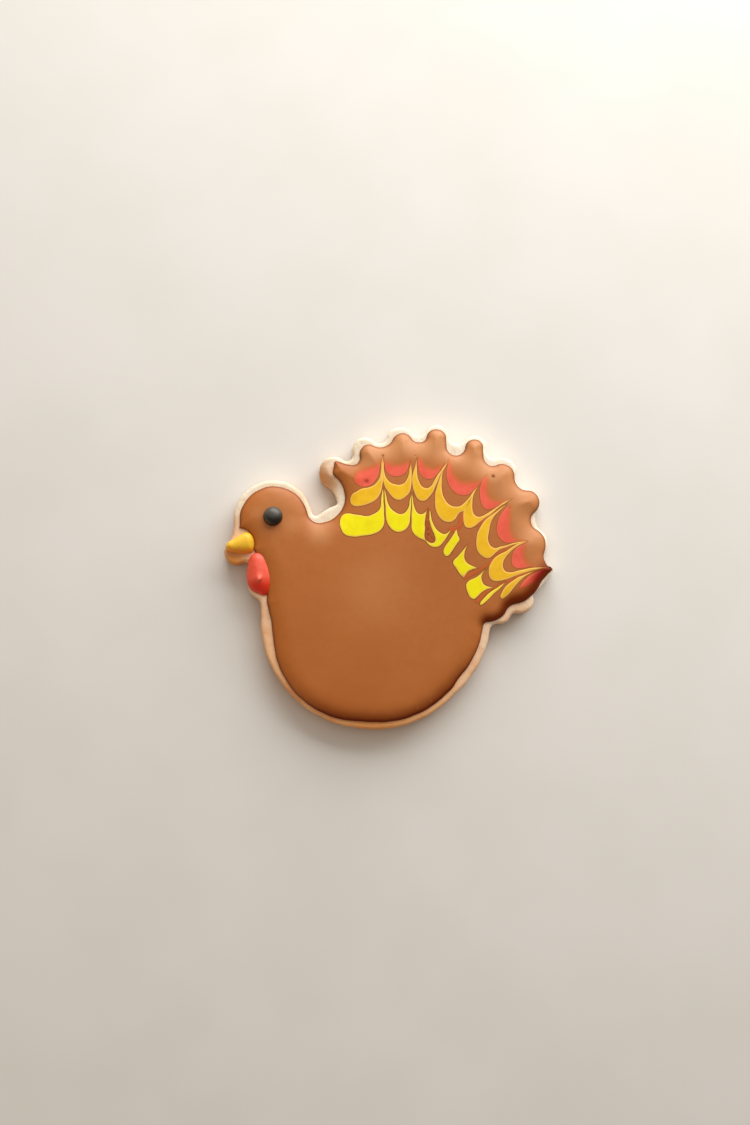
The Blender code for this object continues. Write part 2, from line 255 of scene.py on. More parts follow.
# Where the point of the tool was drawn outwards it pulled a little red into the brown.
STREAKS = [
    [[(11.7, 20.4), (11.2, 18.0), (11.05, 15.0), (10.9, 12.5), (11.2, 11.0), (12.2, 10.3), (13.1, 10.4),
      (13.2, 11.4), (12.5, 13.3), (11.95, 15.3), (11.8, 18.0)]],
    [[(17.4, 13.6), (18.3, 14.5), (19.2, 14.4), (20.0, 14.7), (20.5, 15.6), (20.8, 17.0)],
     [(22.0, 19.2), (21.9, 17.6), (21.8, 15.8), (21.3, 14.3), (20.5, 13.6), (19.4, 13.1), (18.4, 13.2)]],
    [[(33.2, 20.5), (31.0, 18.85), (29.6, 17.8), (28.2, 16.85), (27.0, 15.9)],
     [(25.6, 14.3), (27.2, 15.3), (28.5, 16.5), (29.8, 17.6), (31.2, 18.7)]],
    [[(22.2, 0.2), (23.6, 1.0), (25.2, 1.7), (27.0, 2.3), (29.0, 3.7), (30.4, 5.0)],
     [(31.6, 6.2), (30.2, 4.1), (28.6, 2.7), (26.8, 1.5), (25.0, 0.5), (23.4, -0.4)],
     [(22.3, -0.9), (22.0, -0.4)]],
    [[(30.4, 5.0), (31.2, 6.2), (32.4, 7.3), (34.2, 8.1), (36.4, 8.95)],
     [(38.4, 9.7), (36.3, 8.6), (34.5, 7.6), (32.8, 6.8), (31.5, 6.0)]],
    [[(25.2, -7.3), (26.6, -6.0), (28.2, -4.6), (30.0, -3.5), (32.0, -2.4)],
     [(34.2, -1.6), (31.8, -2.9), (29.6, -4.4), (27.9, -6.0)],
     [(26.4, -7.7), (25.9, -7.9)]],
    [[(34.0, -1.5), (35.6, -0.9), (37.4, -0.1), (39.4, 0.7)],
     [(42.4, 1.6), (40.2, 0.6), (38.4, -0.1), (36.6, -0.9), (35.2, -1.8)]],
]
GOLD_TIP_FADE = 3.6
YELLOW_TIP_FADE = 1.8
RED_TIP_FADE = 2.5
STREAK_TIP_FADE = 2.0


# ---------------------------------------------------------------------------------------------------------
# Plans: outlines made of arcs, distances to them, and points that fill them


def heading(centre, point):
    return math.atan2(point[1] - centre[1], point[0] - centre[0])


def hollow_centre(lobe, following):
    """The centre of the hollow arc that touches a lobe and the next one, outside the outline."""
    _, x, y, radius, hollow = lobe
    start = np.array((x, y))
    end = np.array(following[1:3])
    gap = np.linalg.norm(end - start)
    along = (end - start) / gap
    outward = np.array((along[1], -along[0]))
    near, far = radius + hollow, following[3] + hollow
    distance = (near**2 - far**2 + gap**2) / (2 * gap)
    return start + along * distance + outward * math.sqrt(near**2 - distance**2)


def arcs_of(lobes):
    """The chain's arcs in order, each (centre, radius, start angle, sweep); the hollow ones sweep clockwise."""
    following = lobes[1:] + lobes[:1]
    hollows = [hollow_centre(lobe, after) for lobe, after in zip(lobes, following)]
    arcs = []
    for i, (_, x, y, radius, hollow) in enumerate(lobes):
        centre = np.array((x, y))
        start = heading(centre, hollows[i - 1])
        arcs.append((centre, radius, start, (heading(centre, hollows[i]) - start) % TURN))
        start = heading(hollows[i], centre)
        end = heading(hollows[i], following[i][1:3])
        arcs.append((hollows[i], hollow, start, -((start - end) % TURN)))
    return arcs


def on_arc(arc, share):
    centre, radius, start, sweep = arc
    angles = start + sweep * np.asarray(share)
    return centre + radius * np.stack((np.cos(angles), np.sin(angles)), axis=-1)


def outline(arcs, step):
    """Points about step apart along the arcs."""
    stretches = []
    for arc in arcs:
        count = max(2, round(arc[1] * abs(arc[3]) / step))
        stretches.append(on_arc(arc, np.arange(count) / count))
    return np.concatenate(stretches)


def distance_to_arcs(arcs, points):
    nearest = np.full(len(points), np.inf)
    for arc in arcs:
        centre, radius, start, sweep = arc
        reach = points - centre
        turned = (np.arctan2(reach[:, 1], reach[:, 0]) - start) * np.sign(sweep) % TURN
        ends = on_arc(arc, (0.0, 1.0))
        to_ends = np.linalg.norm(points[:, None] - ends, axis=2).min(axis=1)
        to_round = np.abs(np.linalg.norm(reach, axis=1) - radius)
        nearest = np.minimum(nearest, np.where(turned < abs(sweep), to_round, to_ends))
    return nearest


def distance_to_line(line, points, closed=True):
    ends = np.roll(line, -1, axis=0) if closed else line[1:]
    starts = line if closed else line[:-1]
    steps = ends - starts
    reach = points[:, None] - starts[None]
    share = np.clip((reach * steps).sum(axis=2) / (steps**2).sum(axis=1), 0, 1)
    return np.linalg.norm(reach - share[..., None] * steps, axis=2).min(axis=1)


def inside(edge, points):
    """Which points lie inside the closed outline."""
    found = np.zeros(len(points), bool)
    for (x0, y0), (x1, y1) in zip(edge, np.roll(edge, -1, axis=0)):
        if y0 == y1:
            continue
        spans = (points[:, 1] < y0) != (points[:, 1] < y1)
        crossing = x0 + (points[:, 1] - y0) * (x1 - x0) / (y1 - y0)
        found ^= spans & (points[:, 0] < crossing)
    return found


def lattice(edge, spacing):
    """Points of a triangular grid inside the outline."""
    low, high = edge.min(axis=0), edge.max(axis=0)
    rows = np.arange(low[1], high[1], spacing * math.sqrt(3) / 2)
    columns = np.arange(low[0], high[0], spacing)
    x, y = np.meshgrid(columns, rows)
    x = x + spacing / 2 * (np.arange(len(rows)) % 2)[:, None]
    points = np.stack((x.ravel(), y.ravel()), axis=1)
    return points[inside(edge, points)]


def normals_in(edge):
    along = np.roll(edge, -1, axis=0) - np.roll(edge, 1, axis=0)
    along /= np.linalg.norm(along, axis=1, keepdims=True)
    return np.stack((-along[:, 1], along[:, 0]), axis=1)


def insets(edge, distances, distance_to_edge):
    """The outline moved in by each distance, without points that come nearer to another stretch of it."""
    kept_clearance = 0.97
    normals = normals_in(edge)
    rings = []
    for distance in distances:
        ring = edge + distance * normals
        rings.append(ring[distance_to_edge(ring) > kept_clearance * distance])
    return np.concatenate(rings)


def smooth_stretch(points, step):
    """A curve through the points, as points about step apart, without its last one."""
    points = np.array(points, float)
    spans = np.linalg.norm(np.diff(points, axis=0), axis=1)
    slopes = np.diff(points, axis=0) / spans[:, None]
    tangents = np.concatenate((slopes[:1], (slopes[1:] + slopes[:-1]) / 2, slopes[-1:]))
    made = []
    for i, span in enumerate(spans):
        count = max(1, round(span / step))
        t = (np.arange(count) / count)[:, None]
        made.append(
            (1 + 2 * t) * (1 - t) ** 2 * points[i]
            + t * (1 - t) ** 2 * span * tangents[i]
            + t**2 * (3 - 2 * t) * points[i + 1]
            - t**2 * (1 - t) * span * tangents[i + 1]
        )
    return np.concatenate(made)


# ---------------------------------------------------------------------------------------------------------
# Meshes


def triangles_over(edge, inner):
    """Triangles that fill the outline and pass through the inner points, numbered edge first."""
    plan = [Vector(point) for point in np.concatenate((edge, inner))]
    found = delaunay_2d_cdt(plan, [], [list(range(len(edge)))], 1, 1e-6)
    source = np.array([origins[0] for origins in found[3]])
    return source[np.array(found[2])]


def closed_solid(loops, top_inner, bottom_inner):
    """A closed mesh from loops of equally many points, lowest first, with a lid over the first and the last.

    The inner points are where each lid passes, (x, y, z) each. Gives the points and the faces.
    """
    size = len(loops[0])
    points = np.concatenate((*loops, top_inner, bottom_inner))
    step = np.arange(size)
    after = (step + 1) % size
    faces = []
    for i in range(len(loops) - 1):
        low, high = i * size, (i + 1) * size
        faces += np.stack((low + step, low + after, high + after, high + step), axis=1).tolist()
    last = (len(loops) - 1) * size
    top = triangles_over(loops[-1][:, :2], top_inner[:, :2])
    top = np.where(top < size, top + last, top - size + len(loops) * size)
    bottom = triangles_over(loops[0][:, :2], bottom_inner[:, :2])
    below = len(loops) * size + len(top_inner)
    bottom = np.where(bottom < size, bottom, bottom - size + below)
    faces += top.tolist() + bottom[:, ::-1].tolist()
    return points, faces


def joined(parts):
    """Several (points, faces, values by name) as one."""
    points, faces = [], []
    start = 0
    for part_points, part_faces, _ in parts:
        points.append(part_points)
        faces += [[start + i for i in face] for face in part_faces]
        start += len(part_points)
    values = {name: np.concatenate([part[2][name] for part in parts]) for name in parts[0][2]}
    return np.concatenate(points), faces, values


def as_piece(name, points, faces, material, slot, **values):
    """Makes the object from points in the drawing's millimetres and hangs it on the frame.

    Each of the values is stored on the points under its name, for the material to read.
    """
    mesh = bpy.data.meshes.new(name)
    moved = points - (*middle, 0.0)
    mesh.from_pydata((moved * MM).tolist(), [], faces)
    mesh.shade_smooth()
    mesh.materials.append(material)
    for value_name, value in values.items():
        layer = mesh.attributes.new(value_name, "FLOAT", "POINT")
        layer.data.foreach_set("value", value.astype(np.float32))
    piece = bpy.data.objects.new(name, mesh)
    bpy.context.scene.collection.objects.link(piece)
    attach(piece, "root")
    return piece


def noise_at(points, size, seed):
    """Smooth noise from -1 to 1 at each point, with features about this many millimetres across."""
    shift = Vector((seed * 17.3, seed * 5.1, seed * 9.7))
    flat = points if points.shape[1] == 3 else np.pad(points, ((0, 0), (0, 1)))
    return np.array([noise.noise(Vector(point) / size + shift) for point in flat])


def ease(share):
    share = np.clip(share, 0.0, 1.0)
    return share * share * (3 - 2 * share)


def with_height(plan, heights):
    return np.column_stack((plan, np.broadcast_to(heights, len(plan))))


def wobbled(points, amount, size, seed):
    """The points moved sideways a little, as dough and icing never keep a clean line."""
    moves = [noise_at(points[:, :2], size, seed + axis) for axis in range(2)]
    return points + amount * np.column_stack((*moves, np.zeros(len(points))))


def settled(points):
    """Where the wet icing came to rest. The flood and the feathers in it move together."""
    return wobbled(points, 0.16, 2.6, 31) if len(points) else points


# ---------------------------------------------------------------------------------------------------------
# The biscuit

BISCUIT_SHOULDER = 1.05
BISCUIT_FOOT = 0.7
WALL_LEAN = 0.05
CRUMB = 0.07
DOUGH_WOBBLE = 0.22
# (x, y, spread, share) of places where painted warm reflected light and shade tint the dough golden: the first tail
# feather's slope, under the beak, beside the head, the bottom and the foot.
PAINTED_BOUNCE_PATCHES = [
    (-21.5, 28.5, 6.5, 0.9), (-45.5, 4.5, 5.5, 0.95), (-47.0, 13.0, 5.0, 0.6), (-4.0, -47.0, 13.0, 0.55),
    (38.0, -13.0, 7.0, 0.45),
]


def slump_at(plan):
    """How far the bare lobe of the first tail feather sags towards its outer edge."""
    away = distance_to_arcs(biscuit_arcs, plan)
    there = np.exp(-((plan - (-19.0, 28.0)) ** 2).sum(axis=1) / 4.2**2)
    return 2.9 * there * ease(1 - away / 3.2)


def golden_at(plan):
    """How strongly painted warm reflected light and shade tint the dough golden, in a few places along its edge."""
    golden = np.zeros(len(plan))
    for x, y, spread, share in PAINTED_BOUNCE_PATCHES:
        golden = np.maximum(golden, share * np.exp(-((plan - (x, y)) ** 2).sum(axis=1) / spread**2))
    return golden


def make_biscuit(material):
    top = biscuit_top
    edge = outline(biscuit_arcs, 0.36)
    normals = normals_in(edge)
    heights = np.concatenate((
        BISCUIT_FOOT * (1 - np.cos(np.linspace(0.25, 0.5, 4) * math.pi)),
        np.linspace(BISCUIT_FOOT, top - BISCUIT_SHOULDER, 16)[1:],
    ))
    loops = []
    for height in heights:
        foot = max(0.0, 1 - height / BISCUIT_FOOT)
        lean = WALL_LEAN * (height / top) ** 2
        inset = BISCUIT_FOOT * (1 - math.sqrt(1 - foot**2)) + lean
        loop = with_height(edge + inset * normals, height)
        rough = 0.09 * noise_at(loop, 1.6, 3) + 0.06 * noise_at(loop, 0.7, 4) + 0.12 * noise_at(loop, 5.0, 5)
        loop[:, :2] += (np.abs(rough) - 0.02)[:, None] * normals
        loops.append(loop)
    loops[0][:, 2] = 0.0
    loops = [wobbled(loop, DOUGH_WOBBLE, 3.4, 41) for loop in loops]

    rounding = np.linspace(0, 0.5, 8)[1:] * math.pi
    ring_distances = WALL_LEAN * ((top - BISCUIT_SHOULDER) / top) ** 2 + BISCUIT_SHOULDER * (1 - np.cos(rounding))
    rim = insets(edge, ring_distances, lambda points: distance_to_arcs(biscuit_arcs, points))
    fine = lattice(outline(biscuit_arcs, 1.3), 0.42)
    away = distance_to_arcs(biscuit_arcs, fine)
    fine = fine[(away > BISCUIT_SHOULDER + 0.45) & (away < 6.5)]
    coarse = lattice(outline(biscuit_arcs, 1.3), 2.0)
    coarse = coarse[distance_to_arcs(biscuit_arcs, coarse) > 7.2]
    plan = np.concatenate((rim, fine, coarse))
    away = distance_to_arcs(biscuit_arcs, plan) - ring_distances[0] + BISCUIT_SHOULDER * (1 - math.cos(rounding[0]))
    turned = np.clip(1 - away / BISCUIT_SHOULDER, 0, 1)
    heights = top - BISCUIT_SHOULDER * (1 - np.sqrt(1 - turned**2))
    crumb = CRUMB * (noise_at(plan, 2.4, 6) + 0.7 * noise_at(plan, 0.9, 7)) - CRUMB
    upper = wobbled(with_height(plan, heights + crumb), DOUGH_WOBBLE, 3.4, 41)

    under = lattice(outline(biscuit_arcs, 1.3), 1.6)
    under = under[distance_to_arcs(biscuit_arcs, under) > BISCUIT_FOOT + 1.0]
    lower = wobbled(with_height(under, 0.0), DOUGH_WOBBLE, 3.4, 41)
    points, faces = closed_solid(loops, upper, lower)
    points[:, 2] *= 1 - slump_at(points[:, :2]) / top
    golden = golden_at(points[:, :2])
    piece = as_piece("sugar_biscuit", points, faces, material, "biscuit", golden=golden)
    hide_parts("biscuit")


# ---------------------------------------------------------------------------------------------------------
# The flood of brown icing

ICING_EDGE = 6.2  # how far in from its edge the flood rounds up to its full height
ICING_ROUNDING = 2.05
ICING_SINK = 0.15  # how far its underside sits in the biscuit's crumb
# (x, y, spread, height) of the broad swells where the icing pooled
SWELLS = [
    (40.6, 9.2, 3.4, 0.3),
    (40.4, 21.7, 2.6, 0.45),
    (33.0, 29.4, 2.8, 0.35),
    (25.2, 37.4, 2.1, 0.6),
    (14.1, 40.0, 2.4, 0.5),
    (4.1, 38.6, 2.6, 0.4),
    (-5.6, 36.0, 2.4, 0.35),
]
# Painted shade: how far the brown darkens over the flood's rounded edge, in a thin line at its very edge, along the
# breast and under the tail; under the tail it is also dark red that ran in.
EDGE_SHADE = 0.35
EDGE_SHADE_LINE = 0.45
BREAST_SHADE = 0.72
TAIL_SHADE_AND_RED_RUN = 0.95
# A pit's painted shade grows with its depth.
FULL_PIT = 0.35  # the depth at which a pit is fully dark
# (x, y, spread, share) of paler patches in the brown: painted sheen on the neck, the crown and the middle of the
# body, and uneven tone beside the eye
PALE_PATCHES = [
    (-20.0, 13.0, 4.5, 0.7), (-32.0, 21.0, 8.0, 0.35), (-28.5, 15.5, 4.0, 0.5), (-38.5, 19.0, 3.0, 0.4),
    (-4.0, -4.0, 13.0, 0.4),
]
DARK_PATCH = (20.0, 3.0, 16.0, 0.12)
# (x, y, radius, depth) of small pits left by bubbles and by the tool, and of two bubbles that stand proud
PITS = [
    (-1.7, 35.4, 0.45, 0.28),
    (7.9, 35.4, 0.4, 0.08),
    (30.7, 29.4, 0.65, 0.3),
    (-6.5, 27.8, 0.95, 0.22),
    (35.5, 20.0, 0.45, 0.08),
    (12.5, -36.5, 0.3, -0.12),
    (8.5, -38.7, 0.3, -0.12),
]


def icing_height(plan):
    """The height of the flood over the plan."""
    away = distance_to_arcs(icing_arcs, plan)
    share = np.clip(1 - away / ICING_EDGE, 0, 1)
    rise = (1 - share**ICING_ROUNDING) ** (1 / ICING_ROUNDING)
    height = rise * (icing_top - biscuit_top)
    swell = 0.09 * noise_at(plan, 14.0, 11) + 0.03 * noise_at(plan, 5.0, 12)
    for x, y, spread, lift in SWELLS:
        swell += lift * np.exp(-((plan - (x, y)) ** 2).sum(axis=1) / spread**2)
    height += swell * ease(away / ICING_EDGE)
    for x, y, radius, depth in PITS:
        height -= depth * np.exp(-((plan - (x, y)) ** 2).sum(axis=1) / (0.6 * radius) ** 2)
    return biscuit_top + height


def round_pits(grid, allowed):
    """The grid with finer rings of points round each pit, where they are allowed."""
    turns = np.arange(12) / 12 * TURN
    circle_of_points = np.stack((np.cos(turns), np.sin(turns)), axis=1)
    for x, y, radius, _ in PITS:
        grid = grid[np.linalg.norm(grid - (x, y), axis=1) > 2.2 * radius]
        rings = [np.zeros((1, 2))] + [share * radius * circle_of_points for share in (0.4, 0.8, 1.2, 1.7)]
        rings = np.concatenate(rings) + (x, y)
        grid = np.concatenate((grid, rings[allowed(rings)]))
    return grid


def shade_and_red_run_at(plan):
    """How far the colour is deepened: painted shade at the flood's edges, along the breast's southern edge and in
    the pits, and under the tail and by the tip partly painted shade and partly dark red that ran in.
    """
    away = distance_to_arcs(icing_arcs, plan)
    shade_and_red_run = EDGE_SHADE * ease(1 - away / 1.3) + EDGE_SHADE_LINE * ease(1 - away / 0.6)
    southern = ease((-18 - plan[:, 1]) / 16) * ease((plan[:, 0] + 30) / 16)
    shade_and_red_run += BREAST_SHADE * ease(1 - away / 4.5) * southern
    reach = 3.9 + 0.7 * ease((plan[:, 0] - 32) / 6)
    under_tail = TAIL_SHADE_AND_RED_RUN * ease((reach - distance_to_arcs(under_tail_arcs, plan)) / 3.3)
    by_tip = TAIL_SHADE_AND_RED_RUN * ease(1.1 - np.linalg.norm(plan - icing_arcs[2 * tail_tip][0], axis=1) / 5.5)
    shade_and_red_run = np.maximum(shade_and_red_run, np.maximum(under_tail, by_tip))
    x, y, spread, share = DARK_PATCH
    shade_and_red_run = np.maximum(shade_and_red_run, share * np.exp(-((plan - (x, y)) ** 2).sum(axis=1) / spread**2))
    for x, y, radius, depth in PITS:
        in_pit = np.exp(-((plan - (x, y)) ** 2).sum(axis=1) / (0.75 * radius) ** 2)
        shade_and_red_run = np.maximum(shade_and_red_run, min(1.0, depth / FULL_PIT) * in_pit) if depth > 0 else shade_and_red_run * (1 - in_pit)
    return shade_and_red_run


def pale_at(plan):
    """How far the brown pales: towards the ends of the tail feathers, partly a paler tone and partly painted sheen,
    and in a few broad patches.
    """
    from_middle = np.linalg.norm(plan - (8.0, 6.0), axis=1)
    on_tail = ease((plan[:, 0] + 14) / 9) * (1 - 0.35 * ease((plan[:, 0] - 24) / 14))
    pale = on_tail * ease((from_middle - 25) / 9) * ease((plan[:, 1] + 1) / 12)
    for x, y, spread, share in PALE_PATCHES:
        pale = np.maximum(pale, share * np.exp(-((plan - (x, y)) ** 2).sum(axis=1) / spread**2))
    return pale


def make_icing(material):
    edge = outline(icing_arcs, 0.36)
    ring_distances = ICING_EDGE * (1 - np.cos(np.linspace(0, 0.22, 12)[1:] * math.pi))
    rings = insets(edge, ring_distances, lambda points: distance_to_arcs(icing_arcs, points))
    grid = lattice(outline(icing_arcs, 1.3), 0.44)
    grid = grid[distance_to_arcs(icing_arcs, grid) > ring_distances[-1] + 0.25]
    grid = round_pits(grid, lambda points: distance_to_arcs(icing_arcs, points) > ring_distances[-1] + 0.25)
    plan = np.concatenate((rings, grid))
    base = biscuit_top - ICING_SINK
    loops = [with_height(edge, base), with_height(edge, biscuit_top)]
    under = lattice(outline(icing_arcs, 1.3), 2.5)
    under = under[distance_to_arcs(icing_arcs, under) > 1.2]
    upper = with_height(plan, icing_height(plan))
    points, faces = closed_solid(loops, upper, with_height(under, base))
    values = {"shade_and_red_run": shade_and_red_run_at(points[:, :2]), "pale": pale_at(points[:, :2])}
    piece = as_piece("icing_flood", settled(points), faces, material, "brown_icing", **values)
    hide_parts("icing")


# ---------------------------------------------------------------------------------------------------------
# The feathers

BAND_FLOOR = 0.012  # a band's rim stands this much over the flood
# The dark line round a band is partly colour bled from it and partly painted shade.
SKIRT = 0.36  # how far a band reaches past its rim, for the dark line round it
SKIRT_DIP = 0.006  # how far under the flood that ends
SOFT_DIP = 0.04  # how far under it a soft side ends
TIP_LOSS = 0.3
BAND_SHOULDER = 0.28
BAND_SINK = 0.25


def band(stretches, lift_to, tip_fade, soft_side, most):
    """A thin inlay in the flood.

    Its strength says how pure its colour is, and its rim how far in from its edge each point lies. A narrow
    skirt outside the rim carries the dark line round the band, partly bled colour and partly painted shade.
    """
    step = 0.2
    lines = []
    for i, stretch in enumerate(stretches):
        following = stretches[(i + 1) % len(stretches)][0]
        lines.append(smooth_stretch([*stretch, following], step))
    edge = np.concatenate(lines)
    if (edge[:, 0] * np.roll(edge[:, 1], -1) - edge[:, 1] * np.roll(edge[:, 0], -1)).sum() < 0:
        edge = edge[::-1]
    clear = lambda points: distance_to_line(edge, points)
    rings = insets(edge, (0.09, 0.2, 0.34), clear)
    grid = lattice(edge, 0.36)
    grid = grid[clear(grid) > 0.5] if len(grid) else grid
    grid = round_pits(grid, lambda points: inside(edge, points) & (clear(points) > 0.4))
    plan = np.concatenate((rings, grid))
    outer = edge - SKIRT * normals_in(edge)
    base = with_height(edge, icing_height(edge) - BAND_SINK)
    skirt = with_height(outer, icing_height(outer) - SKIRT_DIP)
    rim = with_height(edge, icing_height(edge) + BAND_FLOOR)
    away = clear(plan) if len(plan) else np.zeros(0)
    rise = ease(away / BAND_SHOULDER)
    lift = BAND_FLOOR + (lift_to - BAND_FLOOR) * rise
    flat = np.concatenate((edge, outer, edge, plan))
    pure = np.full(len(flat), most)
    rim_distance = np.concatenate((np.full(2 * len(edge), -SKIRT), np.zeros(len(edge)), away))
    for stretch in stretches:
        near = np.linalg.norm(flat - stretch[0], axis=1)
        pure *= 1 - TIP_LOSS * (1 - ease(near / tip_fade))
    if soft_side:
        line = np.concatenate((lines[-1], [stretches[0][0]]))
        width = 2 * clear(plan).max()
        soft = ease(distance_to_line(line, flat, closed=False) / min(soft_side, 0.5 * width))
        pure *= soft
        gone = SOFT_DIP * ease(1 - soft / 0.12)
        lift = lift * (0.15 + 0.85 * soft[3 * len(edge):]) - gone[3 * len(edge):]
        skirt[:, 2] -= gone[len(edge):2 * len(edge)]
        rim[:, 2] -= gone[2 * len(edge):3 * len(edge)]
    upper = with_height(plan, icing_height(plan) + lift)
    points, faces = closed_solid([base, skirt, rim], upper, np.zeros((0, 3)))
    values = {"strength": pure, "rim": rim_distance, "shade_and_red_run": shade_and_red_run_at(flat), "pale": pale_at(flat)}
    return settled(points), faces, values


def make_feathers(name, bands, material, slot, lift, tip_fade, soft_side=0.0, most=1.0):
    points, faces, values = joined([band(stretches, lift, tip_fade, soft_side, most) for stretches in bands])
    piece = as_piece(name, points, faces, material, slot, **values)
    piece.data.set_sharp_from_angle(angle=math.radians(50))


# ---------------------------------------------------------------------------------------------------------
# The piped drops

EYE_ROUNDING = 2.3
DROP_SINK = 0.5
BEAK_RING = [
    (-48.0, 8.8), (-47.6, 7.7), (-46.1, 7.1), (-44.0, 6.8), (-41.6, 6.7), (-40.1, 7.1), (-39.5, 8.6),
    (-39.6, 10.9), (-40.6, 12.6), (-42.2, 13.0), (-43.8, 12.1), (-45.5, 11.0), (-47.2, 10.1),
]
WATTLE_RING = [
    (-38.3, 7.1), (-40.2, 6.4), (-41.2, 4.4), (-41.7, 1.8), (-41.75, -0.6), (-41.2, -2.7), (-39.9, -4.3),
    (-38.0, -5.2), (-36.2, -5.6), (-34.7, -4.6), (-34.0, -2.0), (-34.35, 1.2), (-35.3, 3.9), (-36.7, 6.3),
]


def circle(centre, radius, count):
    angles = TURN * np.arange(count) / count
    return np.array(centre) + radius * np.stack((np.cos(angles), np.sin(angles)), axis=1)


def smooth_ring(corners, step):
    """A smooth closed curve through the corners, as points about step apart."""
    turns = len(corners)
    wrapped = corners[-2:] + corners + corners[:3]
    line = smooth_stretch(wrapped, step)
    sizes = [max(1, round(math.dist(a, b) / step)) for a, b in zip(wrapped, wrapped[1:])]
    start = sum(sizes[:2])
    return line[start:start + sum(sizes[2:2 + turns])]


def drop(edge, crest, base, height, rounding, reach=(0.0, 0.0), peak=0.0, peak_width=1.0, lean=(0.0, 0.0)):
    """A piped drop of icing: a rounded heap over its outline, with a small peak where the tip pulled away.

    Its highest line runs from the crest over the reach. The rounding is (towards -Y, towards +Y): about 1.4
    slopes evenly, and 2.4 is steep at the edge.
    """
    rings = 26
    shares = 1 - (1 - np.linspace(0, 1, rings)) ** 1.8
    reach = np.array(reach)
    along = np.clip((edge - crest) @ reach / max(reach @ reach, 1e-9), 0, 1)
    top_line = crest + along[:, None] * reach
    outward = edge - top_line
    north = (1 + outward[:, 1] / np.linalg.norm(outward, axis=1)) / 2
    power = rounding[0] + (rounding[1] - rounding[0]) * north
    loops = [with_height(edge, base - DROP_SINK)]
    for share in shares[:-1]:
        plan = top_line + (1 - share) * outward
        rise = (1 - (1 - share) ** power) ** (1 / power)
        near_peak = np.exp(-((np.linalg.norm(plan - crest, axis=1) / peak_width) ** 2))
        heights = base + height * rise + peak * near_peak
        loops.append(with_height(plan + near_peak[:, None] * lean, heights))
    top = np.array([[*(crest + lean), base + height + peak]])
    return closed_solid(loops, top, np.zeros((0, 3)))


def make_eye(material):
    low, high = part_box("eye")
    centre = np.array(((low.x + high.x) / 2, (low.y + high.y) / 2)) / MM + middle - (0.1, 0.35)
    radius = 1.02 * (high.x - low.x) / 2 / MM
    base = icing_top - 0.1
    points, faces = drop(circle(centre, radius, 72), centre, base, high.z / MM - base, (EYE_ROUNDING, EYE_ROUNDING))
    # Painted shade: the eye's southern half is painted towards near-black.
    shaded_side = ease(0.5 + (centre[1] - points[:, 1]) / radius)
    piece = as_piece("eye_dot", points, faces, material, "black_icing", low=shaded_side)
    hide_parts("eye")


def make_beak(material):
    edge = smooth_ring(BEAK_RING, 0.3)
    crest = np.array((-41.6, 10.5))
    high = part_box("beak")[1].z / MM
    points, faces = drop(edge, crest, biscuit_top, high - biscuit_top - 0.1, (1.9, 2.4), reach=(-4.6, -1.5))
    # Painted shade: the beak's southern side is painted orange.
    piece = as_piece("beak_drop", points, faces, material, "gold_icing", low=ease((9.2 - points[:, 1]) / 2.2))
    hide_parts("beak")


def make_wattle(material):
    edge = smooth_ring(WATTLE_RING, 0.3)
    crest = np.array((-38.0, -0.4))
    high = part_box("wattle")[1].z / MM - 0.05
    points, faces = drop(
        edge, crest, biscuit_top, high - biscuit_top - 0.75, (1.5, 2.2), reach=(-0.5, 3.4),
        peak=0.75, peak_width=0.85, lean=(0.05, -0.6),
    )
    # Painted shade: the wattle's southern side is painted a deeper red.
    piece = as_piece("wattle_drop", points, faces, material, "red_icing", low=ease(-points[:, 1] / 3.0))
    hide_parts("wattle")


# ---------------------------------------------------------------------------------------------------------
# Materials


def linear(red, green, blue):
    """A screen colour, 0 to 255, as the linear colour that a shader takes."""
    shares = np.array((red, green, blue)) / 255
    values = np.where(shares <= 0.04045, shares / 12.92, ((shares + 0.055) / 1.055) ** 2.4)
    return (*values.tolist(), 1.0)


